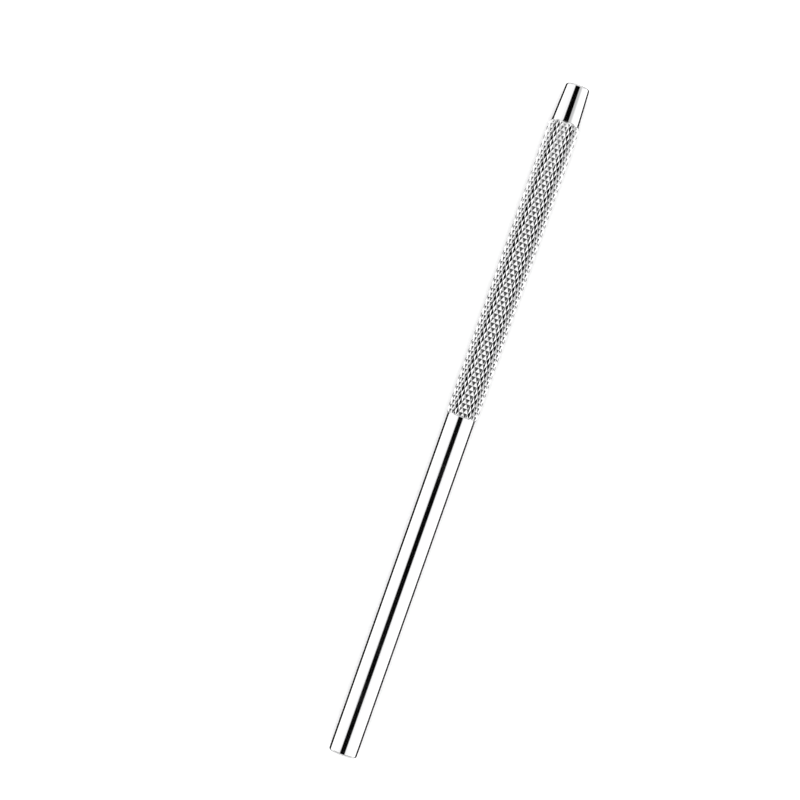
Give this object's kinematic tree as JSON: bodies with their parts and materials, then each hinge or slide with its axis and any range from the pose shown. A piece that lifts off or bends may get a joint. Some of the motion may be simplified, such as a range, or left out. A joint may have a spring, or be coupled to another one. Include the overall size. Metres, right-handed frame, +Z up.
{
  "type": "mouth mirror handle",
  "caption": "Slim round stainless handle for a mouth mirror, with a plain shank, a diamond-knurled grip and a tapered nose with a tapped socket for the mirror head.",
  "frame": {"origin": "centre of the rear end face, on the handle's axis", "axes": "+X along the handle, from the rear face to the mouth of the threaded socket; +Z up as the handle lies on its side"},
  "size_m": [0.125, 0.0056, 0.0056],
  "materials": {
    "tube_steel": "stainless steel, polished bright after knurling",
    "nose_steel": "stainless steel, turned and polished",
    "plug_steel": "stainless steel, faced on a lathe, satin"
  },
  "bodies": {
    "root": {"handle_tube": "tube_steel", "socket_nose": "nose_steel", "end_plug": "plug_steel"}
  },
  "joints": []
}
